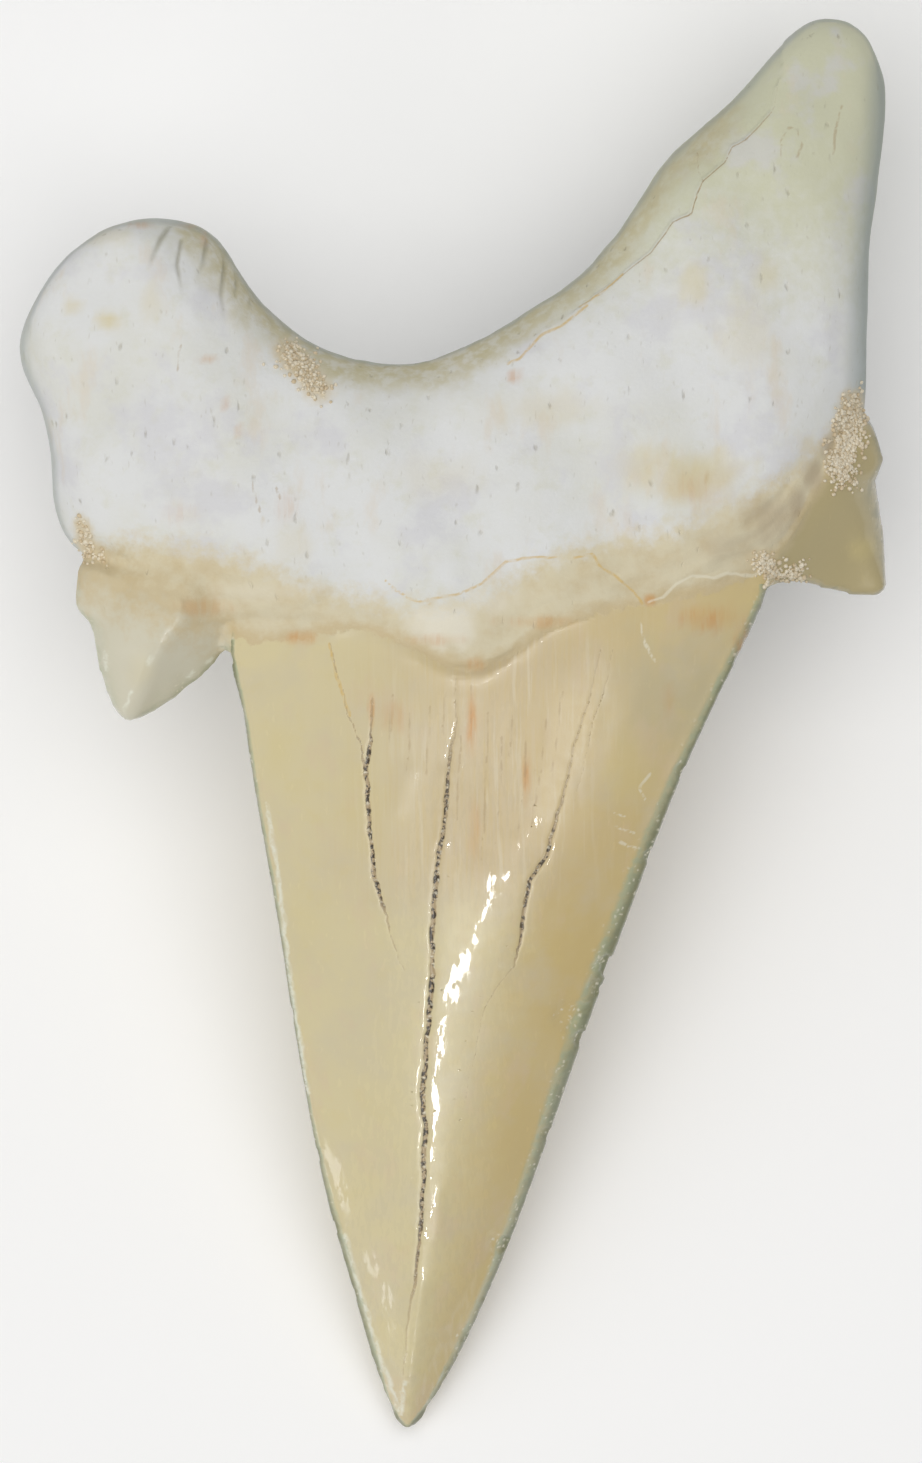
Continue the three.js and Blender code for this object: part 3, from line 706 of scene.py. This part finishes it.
# fine lines that run along y, as folds and hair cracks do
def streaksGroup():
    group, given, mask = newGroup("streaks", Across=3.0, Along=0.25, Low=0.45, High=0.6)
    size = addNode(group, "CombineXYZ", {"X": given["Across"], "Y": given["Along"],
                                         "Z": given["Along"]})
    stretched = addNode(group, "VectorMath", {0: given["Place"], 1: size.outputs[0]},
                        operation="MULTIPLY")
    texture = addNode(group, "TexNoise", {"Vector": stretched.outputs[0], "Scale": 1.0,
                                          "Detail": 3.0, "Roughness": 0.55})
    group.links.new(ramp(group, texture.outputs["Fac"], given["Low"], given["High"]), mask)
    return group


patches = patchesGroup()
specks = specksGroup()
streaks = streaksGroup()

# Finish of the tooth, as seen in daylight
toothFinish = {
    "paleBone": tone(220, 221, 220),
    "limeBone": tone(208, 207, 188),
    "lilacBone": tone(206, 205, 210),
    "peachBone": tone(214, 200, 178),
    "lobeBoneAndShade": tone(202, 202, 176),
    "stripBoneAndShade": tone(192, 193, 166),
    "notchShadeBone": tone(193, 185, 150),
    "edgeShadeBone": tone(146, 157, 154),
    "sandGround": tone(208, 193, 160),
    "rimShadeBone": tone(138, 149, 143),
    "boneSpeck": tone(158, 150, 126),
    "grooveDirtAndShade": tone(150, 146, 124),
    "creaseShadeAndPatch": tone(170, 152, 124),
    "boneDash": tone(196, 178, 138),
    "bandBeige": tone(211, 201, 172),
    "bandDeep": tone(196, 176, 134),
    "bandPale": tone(224, 218, 200),
    "enamelLight": tone(209, 197, 156),
    "enamelOchreAndShade": tone(204, 185, 136),
    "enamelDeep": tone(201, 178, 120),
    "enamelGrey": tone(198, 188, 164),
    "enamelRose": tone(208, 186, 158),
    "medialTan": tone(194, 172, 136),
    "cuspletGrey": tone(206, 201, 180),
    "cuspletOliveAndShade": tone(180, 166, 124),
    "enamelOlive": tone(190, 179, 144),
    "bevelGreenAndTranslucence": tone(172, 178, 146),
    "edgeDark": tone(112, 115, 88),
    "hairBrown": tone(164, 138, 98),
    "orange": tone(200, 142, 72),
    "yellow": tone(208, 192, 132),
    "lineOrange": tone(206, 172, 96),
    "linePale": tone(228, 222, 200),
    "paintedHighlightAndFlecks": tone(232, 234, 220),
    "crackDark": tone(64, 54, 40),
    "crackDust": tone(170, 150, 116),
    "crackSand": tone(236, 228, 204),
}


def toothMaterial():
    colours = toothFinish
    material, tree, place = startMaterial("fossilTooth")
    squeezed = addNode(tree, "Mapping", {"Vector": place, "Scale": (1.0, 0.42, 1.0)}).outputs[0]

    def field(name):
        return addNode(tree, "Attribute", attribute_name=name).outputs["Fac"]

    def group(kind, **inputs):
        return useGroup(tree, kind, {"Place": place, **inputs})

    def tint(base, share, name):
        return mixColour(tree, share, base, colours[name])

    def times(*values):
        product = values[0]
        for value in values[1:]:
            product = math2(tree, "MULTIPLY", product, value)
        return product

    def plus(first, second):
        return math2(tree, "ADD", first, second)

    def rise(*values):
        return ramp(tree, *values)

    # how strongly a coloured line shows, from its middle to where it ends
    def line(name, wander, end, start):
        return rise(plus(field(name + "Gap"), times(wobble, wander)), end, start)

    wobble = addNode(tree, "TexNoise", {"Vector": place, "Scale": 1.6, "Detail": 4.0,
                                        "Roughness": 0.6}).outputs["Fac"]
    wobble = rise(wobble, 0.2, 0.8, -0.5, 0.5)
    above = plus(field("above"), times(wobble, 0.5))
    bandAbove = plus(field("bandAbove"), times(wobble, 1.1))
    soft = plus(times(field("leftCusplet"), 0.35), times(field("rightCusplet"), 0.7))
    enamel = rise(above, plus(soft, 0.12), math2(tree, "SUBTRACT", -0.12, soft))
    bone = rise(bandAbove, -0.9, 0.9)

    # bare bone: pale in the middle, greener on the lobes, with painted shade where the lobes tilt away and on
    # the rims and steep sides
    clouds = group(patches, Scale=0.2, Low=0.4, High=0.7)
    boneColour = mixColour(tree, times(clouds, 0.35), colours["paleBone"], colours["limeBone"])
    mottle = group(patches, Scale=0.9, Low=0.5, High=0.75)
    boneColour = tint(boneColour, times(mottle, 0.4), "limeBone")
    lobes = plus(field("lobes"), times(wobble, 0.25))
    # greener lobes, partly their own tone and partly painted shade where they tilt away
    boneColour = tint(boneColour, rise(lobes, 0.1, 1.0), "lobeBoneAndShade")
    lilac = group(patches, Scale=0.33, Low=0.5, High=0.66)
    boneColour = tint(boneColour, times(lilac, 0.5), "lilacBone")
    peach = group(patches, Place=squeezed, Scale=0.45, Low=0.55, High=0.7)
    boneColour = tint(boneColour, times(peach, 0.4), "peachBone")
    # the sunk strip tinted darker and greener, partly painted shade where it turns away
    boneColour = tint(boneColour, times(field("strip"), 0.35), "stripBoneAndShade")
    # painted shade on the notch rim, which turns away from the light
    boneColour = tint(boneColour, times(field("rim"), rise(wobble, -0.4, 0.3, 0.5, 1.0)), "notchShadeBone")
    # painted shade along the right edge of the right lobe
    boneColour = tint(boneColour, times(field("lobeEdgeShade"), 0.62), "edgeShadeBone")
    # painted bluish shade on the steep sides of the outer face
    boneColour = tint(boneColour, times(field("steepShade"), 0.7), "rimShadeBone")
    boneColour = tint(boneColour, times(field("yellow"), 0.7), "yellow")
    pits = group(specks, Place=squeezed, Scale=1.5, Size=0.2, Share=0.4)
    finePits = group(specks, Place=squeezed, Scale=3.6, Size=0.3, Share=0.25)
    dashes = group(specks, Place=squeezed, Scale=0.95, Size=0.22, Share=0.3)
    boneColour = tint(boneColour, times(dashes, field("dashes"), 0.6), "boneDash")
    boneColour = tint(boneColour, times(pits, 0.42), "boneSpeck")
    boneColour = tint(boneColour, times(finePits, 0.25), "boneSpeck")

    # the wrinkled band above the enamel
    bandCloud = group(patches, Scale=0.7, Low=0.4, High=0.75)
    bandColour = mixColour(tree, times(bandCloud, 0.5), colours["bandBeige"], colours["bandDeep"])
    bandColour = tint(bandColour, field("bandPale"), "bandPale")
    # painted shade in the crease just above the enamel's foot
    bandFootShade = rise(above, 0.9, 0.1)
    bandColour = tint(bandColour, times(bandFootShade, 0.7), "bandDeep")

    # enamel: pale on the left, ochre to the right (partly painted shade where the crown turns away), green
    # along the bevelled edges (partly painted translucency)
    side = plus(field("side"), times(wobble, 0.12))
    enamelColour = mixColour(tree, rise(side, 0.45, 0.85), colours["enamelLight"], colours["enamelOchreAndShade"])
    enamelColour = tint(enamelColour, times(field("ochre"), 0.8), "enamelDeep")
    enamelColour = tint(enamelColour, times(field("olive"), 0.8), "enamelOlive")
    cloudy = group(patches, Scale=0.3, Low=0.42, High=0.7)
    enamelColour = tint(enamelColour, times(cloudy, 0.4), "enamelGrey")
    warmer = group(patches, Scale=0.75, Low=0.5, High=0.72)
    enamelColour = tint(enamelColour, times(warmer, 0.22), "yellow")
    rosy = group(patches, Place=squeezed, Scale=0.6, Low=0.52, High=0.7)
    enamelColour = tint(enamelColour, times(rosy, 0.3), "enamelRose")
    enamelColour = tint(enamelColour, times(field("medial"), 0.62), "medialTan")
    enamelColour = tint(enamelColour, field("leftCusplet"), "cuspletGrey")
    # the right cusplet olive-tan, partly its own tone and partly painted shade where it tilts away from the
    # light
    enamelColour = tint(enamelColour, field("rightCusplet"), "cuspletOliveAndShade")
    edgeShare = plus(field("edgeShare"), times(wobble, 0.2))
    uneven = group(patches, Scale=1.3, Low=0.35, High=0.65)
    onBevel = times(rise(edgeShare, 1.15, 0.75), rise(uneven, 0.0, 1.0, 0.5, 0.9))
    # green along the bevels, partly painted translucency of the thin enamel edges
    enamelColour = tint(enamelColour, onBevel, "bevelGreenAndTranslucence")
    enamelColour = tint(enamelColour, rise(edgeShare, 0.85, 0.15, 0.0, 0.8), "edgeDark")
    # painted shade on the steep rims of the cusplets
    rimShadeTone = mixColour(tree, field("rightCusplet"), colours["bevelGreenAndTranslucence"], colours["edgeDark"])
    enamelColour = mixColour(tree, times(field("cuspletRimShade"), rise(uneven, 0.0, 1.0, 0.3, 0.8)),
                             enamelColour, rimShadeTone)
    edgeFlecks = group(specks, Scale=3.4, Size=0.45, Share=0.35)
    flecked = math2(tree, "MAXIMUM", rise(edgeShare, 1.5, 0.6), times(field("cuspletRimShade"), 0.7))
    enamelColour = tint(enamelColour, times(edgeFlecks, flecked, 0.75), "linePale")
    fineLines = group(streaks, Across=5.5, Along=0.3, Low=0.42, High=0.68)
    enamelColour = tint(enamelColour, times(field("medial"), fineLines, 0.35), "enamelDeep")
    paleLines = group(streaks, Place=squeezed, Across=3.4, Along=0.5, Low=0.55, High=0.7)
    enamelColour = tint(enamelColour, times(field("medial"), paleLines, 0.22), "linePale")
    enamelColour = tint(enamelColour, times(field("yellow"), 0.6), "yellow")

    ground = times(field("sandy"), rise(wobble, -0.5, 0.2, 0.6, 1.0))
    boneColour = tint(boneColour, times(ground, 0.9), "sandGround")
    bandColour = tint(bandColour, times(ground, 0.9), "sandGround")
    colour = mixColour(tree, bone, bandColour, boneColour)
    # painted shadow in the creases, and a darker patch on the left cusplet
    colour = tint(colour, times(field("creaseShadeAndPatch"), 0.65), "creaseShadeAndPatch")
    # the lobe's grooves darkened, partly dirt and partly painted shade in the hollows
    colour = tint(colour, times(field("grooved"), 0.6), "grooveDirtAndShade")
    colour = mixColour(tree, enamel, colour, enamelColour)
    lines = group(streaks, Across=3.0, Along=0.35, Low=0.42, High=0.62)
    colour = tint(colour, times(field("orange"), rise(lines, 0.0, 1.0, 0.45, 0.9)), "orange")
    patchy = rise(wobble, -0.35, 0.1, 0.25, 1.0)
    colour = tint(colour, times(line("orange", 0.05, 0.11, 0.02), patchy, 0.7), "lineOrange")
    # painted highlight lines along the edges and ridges, and white flecks
    colour = tint(colour, times(line("paintedHighlightAndFlecks", 0.2, 0.18, 0.0), patchy, 0.75), "paintedHighlightAndFlecks")
    colour = tint(colour, times(line("brown", 0.06, 0.09, 0.01), 0.45), "hairBrown")
    colour = tint(colour, times(line("pale", 0.05, 0.11, 0.02), 0.6), "linePale")
    chip = field("chipping")
    flecks = group(specks, Scale=3.5, Size=0.45, Share=0.6)
    colour = tint(colour, times(chip, flecks, 0.9), "linePale")

    # cracks: dust in the groove with dark gaps and light grains
    show = field("crackShow")
    reach = plus(field("crackGap"), times(wobble, 0.5))
    inCrack = times(rise(reach, 1.15, 0.55), rise(show, 0.0, 0.7, 0.25, 1.0))
    gaps = group(patches, Scale=3.8, Low=0.47, High=0.53)
    grains = group(specks, Scale=4.2, Size=0.55, Share=0.75)
    dark = times(gaps, rise(show, 0.3, 0.9))
    crackColour = mixColour(tree, dark, colours["crackDust"], colours["crackDark"])
    crackColour = tint(crackColour, times(grains, show), "crackSand")
    colour = mixColour(tree, inCrack, colour, crackColour)

    # finish
    aroundCrack = times(rise(reach, 2.6, 1.3), rise(show, 0.0, 0.4))
    dull = math2(tree, "MAXIMUM", aroundCrack, rise(above, -2.2, -0.6, 0.0, 0.9))
    dull = math2(tree, "MAXIMUM", dull, times(chip, 0.6))
    dull = math2(tree, "MAXIMUM", dull, rise(field("dulled"), 0.0, 0.5))
    gloss = times(enamel, math2(tree, "SUBTRACT", 1.0, dull))
    roughness = plus(rise(enamel, 0.0, 1.0, 0.62, 0.36), times(wobble, 0.05))
    strokes = group(streaks, Across=4.2, Along=1.2, Low=rise(field("worn"), 0.0, 1.0, 0.3, 0.5),
                    High=rise(field("worn"), 0.0, 1.0, 0.36, 0.56))
    coat = times(gloss, strokes, 0.85)
    grain = addNode(tree, "TexNoise", {"Vector": place, "Scale": 5.0, "Detail": 3.0}).outputs["Fac"]
    boneHeight = math2(tree, "SUBTRACT", times(grain, 0.35), times(pits, 0.9))
    boneHeight = times(boneHeight, math2(tree, "SUBTRACT", 1.0, enamel))
    height = plus(boneHeight, times(grains, inCrack))
    relief = addNode(tree, "Bump", {"Height": height, "Distance": 0.08 * mm, "Strength": 0.7})

    shader = addNode(tree, "BsdfPrincipled", {"Base Color": colour, "Roughness": roughness,
                                              "Coat Weight": coat, "Coat Roughness": 0.06,
                                              "Coat IOR": 1.5, "Normal": relief.outputs[0]})
    addNode(tree, "OutputMaterial", {"Surface": shader.outputs[0]})
    return material


tooth = makeSkin()
tooth.data.materials.append(toothMaterial())
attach(tooth, "root")
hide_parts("tooth")
print("tooth finished")

# Sand caught in the corners
sandGrain = {"smallest": 0.055, "largest": 0.13, "sunk": 0.42, "dent": 0.28, "dentScale": 1.3,
             "stretch": (0.75, 1.15), "dropHeight": 40, "seed": 41}


def makeGrain():
    bpy.ops.mesh.primitive_ico_sphere_add(subdivisions=2, radius=1.0, location=(0, 0, 0))
    grain = bpy.context.active_object
    for vertex in grain.data.vertices:
        vertex.co *= 1 + sandGrain["dent"] * noise.noise(vertex.co * sandGrain["dentScale"])
    return grain


# copies the grain over the patches, each copy sunk a little into the tooth
def makeSand(skin):
    random.seed(sandGrain["seed"])
    makeActive(skin)
    tree = BVHTree.FromObject(skin, bpy.context.evaluated_depsgraph_get())
    grain = makeGrain()
    copies = []
    for patch in sandPatches:
        for _ in range(patch["grains"]):
            leg = random.randrange(len(patch["path"]) - 1)
            start, end = Vector(patch["path"][leg]), Vector(patch["path"][leg + 1])
            x, y = start.lerp(end, random.random())
            x += random.gauss(0, patch["spread"])
            y += random.gauss(0, patch["spread"])
            start = Vector((x, y, sandGrain["dropHeight"])) * mm
            place, normal, _, _ = tree.ray_cast(start, Vector((0, 0, -1)))
            if place is None or normal.z < 0.1:
                continue
            radius = random.uniform(sandGrain["smallest"], sandGrain["largest"]) * mm
            copy = grain.copy()
            copy.data = grain.data.copy()
            copy.location = place + normal * radius * (1 - sandGrain["sunk"] * 2)
            copy.rotation_euler = [random.uniform(0, 2 * math.pi) for _ in range(3)]
            copy.scale = [radius * random.uniform(*sandGrain["stretch"]) for _ in range(3)]
            bpy.context.collection.objects.link(copy)
            shade = copy.data.attributes.new("shade", "FLOAT", "POINT")
            shade.data.foreach_set("value", [random.random()] * len(copy.data.vertices))
            copies.append(copy)
    bpy.data.objects.remove(grain)
    deselectAll()
    for copy in copies:
        copy.select_set(True)
    bpy.context.view_layer.objects.active = copies[0]
    bpy.ops.object.join()
    sand = bpy.context.active_object
    bpy.ops.object.transform_apply(location=True, rotation=True, scale=True)
    sand.name = "sandGrains"
    bpy.ops.object.shade_smooth()
    return sand


sandFinish = {"pale": tone(228, 219, 198), "tan": tone(204, 186, 154)}


def sandMaterial():
    material, tree, place = startMaterial("sand")
    shade = addNode(tree, "Attribute", attribute_name="shade").outputs["Fac"]
    colour = mixColour(tree, ramp(tree, shade, 0.3, 1.0), sandFinish["pale"], sandFinish["tan"])
    mottle = useGroup(tree, patches, {"Place": place, "Scale": 6.0, "Low": 0.4, "High": 0.6})
    colour = mixColour(tree, math2(tree, "MULTIPLY", mottle, 0.3), colour, sandFinish["tan"])
    relief = addNode(tree, "Bump", {"Height": mottle, "Distance": 0.02 * mm, "Strength": 0.5})
    shader = addNode(tree, "BsdfPrincipled", {"Base Color": colour, "Roughness": 0.55,
                                              "Normal": relief.outputs[0]})
    addNode(tree, "OutputMaterial", {"Surface": shader.outputs[0]})
    return material


sand = makeSand(tooth)
sand.data.materials.append(sandMaterial())
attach(sand, "root")
print("sand placed:", len(sand.data.polygons), "faces")

# Floor, camera and lights
studio = {
    "photoHeight": 73.15,  # mm up the 1463 pixels of the picture
    "middle": (0.35, -0.375),
    "levelHeight": 10.0,  # the height of the tooth at which the picture's scale holds
    "lens": 1000,
    "sensor": 36,
    "floorColour": tone(250, 250, 250),
    "floorSize": 3,  # m
    "floorDrop": 0.02,  # keeps the floor just clear of the tooth
    "airColour": (0.95, 0.97, 1.0, 1),
    "airStrength": 0.26,
}


def makeFloor():
    bpy.ops.mesh.primitive_plane_add(size=studio["floorSize"], location=(0, 0, -studio["floorDrop"] * mm))
    floor = bpy.context.active_object
    floor.name = "floor"
    material = bpy.data.materials.new("floorPaper")
    material.use_nodes = True
    shader = material.node_tree.nodes["Principled BSDF"]
    shader.inputs["Base Color"].default_value = studio["floorColour"]
    shader.inputs["Roughness"].default_value = 0.9
    floor.data.materials.append(material)


def makeCamera():
    data = bpy.data.cameras.new("camera")
    data.lens = studio["lens"]
    data.sensor_width = studio["sensor"]
    data.clip_start = 0.01
    data.clip_end = 20
    distance = studio["photoHeight"] * data.lens / data.sensor_width
    camera = bpy.data.objects.new("camera", data)
    bpy.context.collection.objects.link(camera)
    camera.location = Vector((*studio["middle"], distance + studio["levelHeight"])) * mm
    bpy.context.scene.camera = camera


# Energy in watts, sizes and places in metres; along is the direction of the light's longer side. The soft
# lights colour the tooth, and only the narrow ones are seen in the enamel.
softLights = {
    "softSky": {"energy": 6.15, "size": (1.0, 1.0), "place": (0.05, 0.05, 0.9), "colour": (1.0, 0.99, 0.97)},
    "leftWindow": {"energy": 2.9, "size": (0.8, 0.8), "place": (-0.7, -0.35, 0.5),
                   "colour": (1.0, 0.98, 0.95)},
}
narrowLights = {
    "streakWindow": {"energy": 1.2, "size": (0.03, 0.25), "place": (0.056, -0.388, 0.52),
                     "along": (0.137, 0.175, 0.11)},
    "leftGlint": {"energy": 0.1, "size": (0.05, 0.17), "place": (-0.487, -0.418, 0.125),
                  "along": (-0.064, 0.028, -0.155)},
    "frontGlint": {"energy": 0.15, "size": (0.06, 0.12), "place": (-0.04, -0.58, 0.3)},
}


def addLight(name, energy, size, place, colour=(1, 1, 1), along=(0, 1, 0)):
    data = bpy.data.lights.new(name, "AREA")
    data.shape = "RECTANGLE"
    data.size, data.size_y = size
    data.energy = energy
    data.color = colour
    light = bpy.data.objects.new(name, data)
    bpy.context.collection.objects.link(light)
    light.location = place
    light.visible_camera = False
    back = Vector(place).normalized()
    side = Vector(along).cross(back).normalized()
    light.rotation_euler = Matrix((side, back.cross(side), back)).transposed().to_euler()
    return light


def makeAir():
    world = bpy.data.worlds.new("studioAir")
    bpy.context.scene.world = world
    world.use_nodes = True
    background = world.node_tree.nodes["Background"]
    background.inputs["Color"].default_value = studio["airColour"]
    background.inputs["Strength"].default_value = studio["airStrength"]


makeFloor()
makeCamera()
for name, light in softLights.items():
    addLight(name, **light).visible_glossy = False
for name, light in narrowLights.items():
    addLight(name, **light).visible_diffuse = False
makeAir()
bpy.context.scene.view_settings.view_transform = "Standard"
print("studio set")
